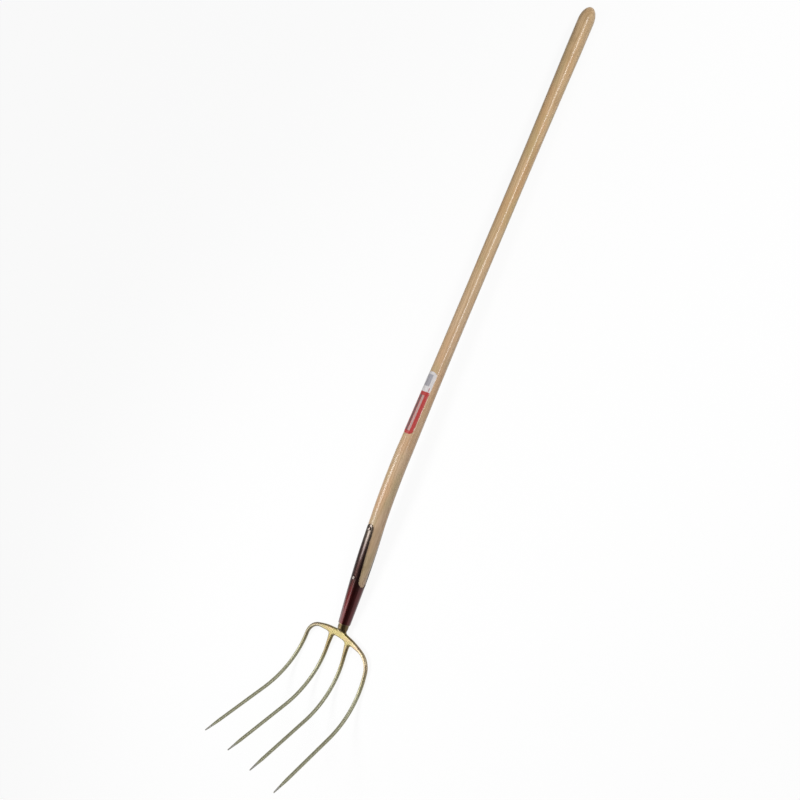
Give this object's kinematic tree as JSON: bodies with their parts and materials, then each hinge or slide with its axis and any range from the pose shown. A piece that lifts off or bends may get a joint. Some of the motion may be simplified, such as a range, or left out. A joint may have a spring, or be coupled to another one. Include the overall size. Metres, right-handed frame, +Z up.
{
  "type": "manure fork",
  "caption": "Long-handled manure fork: curved forged tines on a bow, with a strapped socket riveted to a steam-bent wooden handle that ends in a domed grip.",
  "frame": {"origin": "on the ground under the middle of the fork's length and width, as it lies on its back", "axes": "+Z up, out of the hollow side of the tines; +X along the handle towards the grip end; Y across the tines"},
  "size_m": [1.6529, 0.2266, 0.1617],
  "materials": {
    "ash": "clear glossy lacquer over straight-grained ash",
    "varnished_steel": "gold-tinted varnish over forged steel, bare points",
    "maroon_enamel": "glossy very dark maroon enamel",
    "rivet_steel": "maroon enamel worn thin over steel",
    "label_film": "glossy printed film, plain red and white fields"
  },
  "bodies": {
    "root": {"handle": "ash", "fork_head": "varnished_steel", "strapped_socket": "maroon_enamel", "lower_rivet": "rivet_steel", "upper_rivet": "rivet_steel", "label": "label_film"}
  },
  "joints": []
}
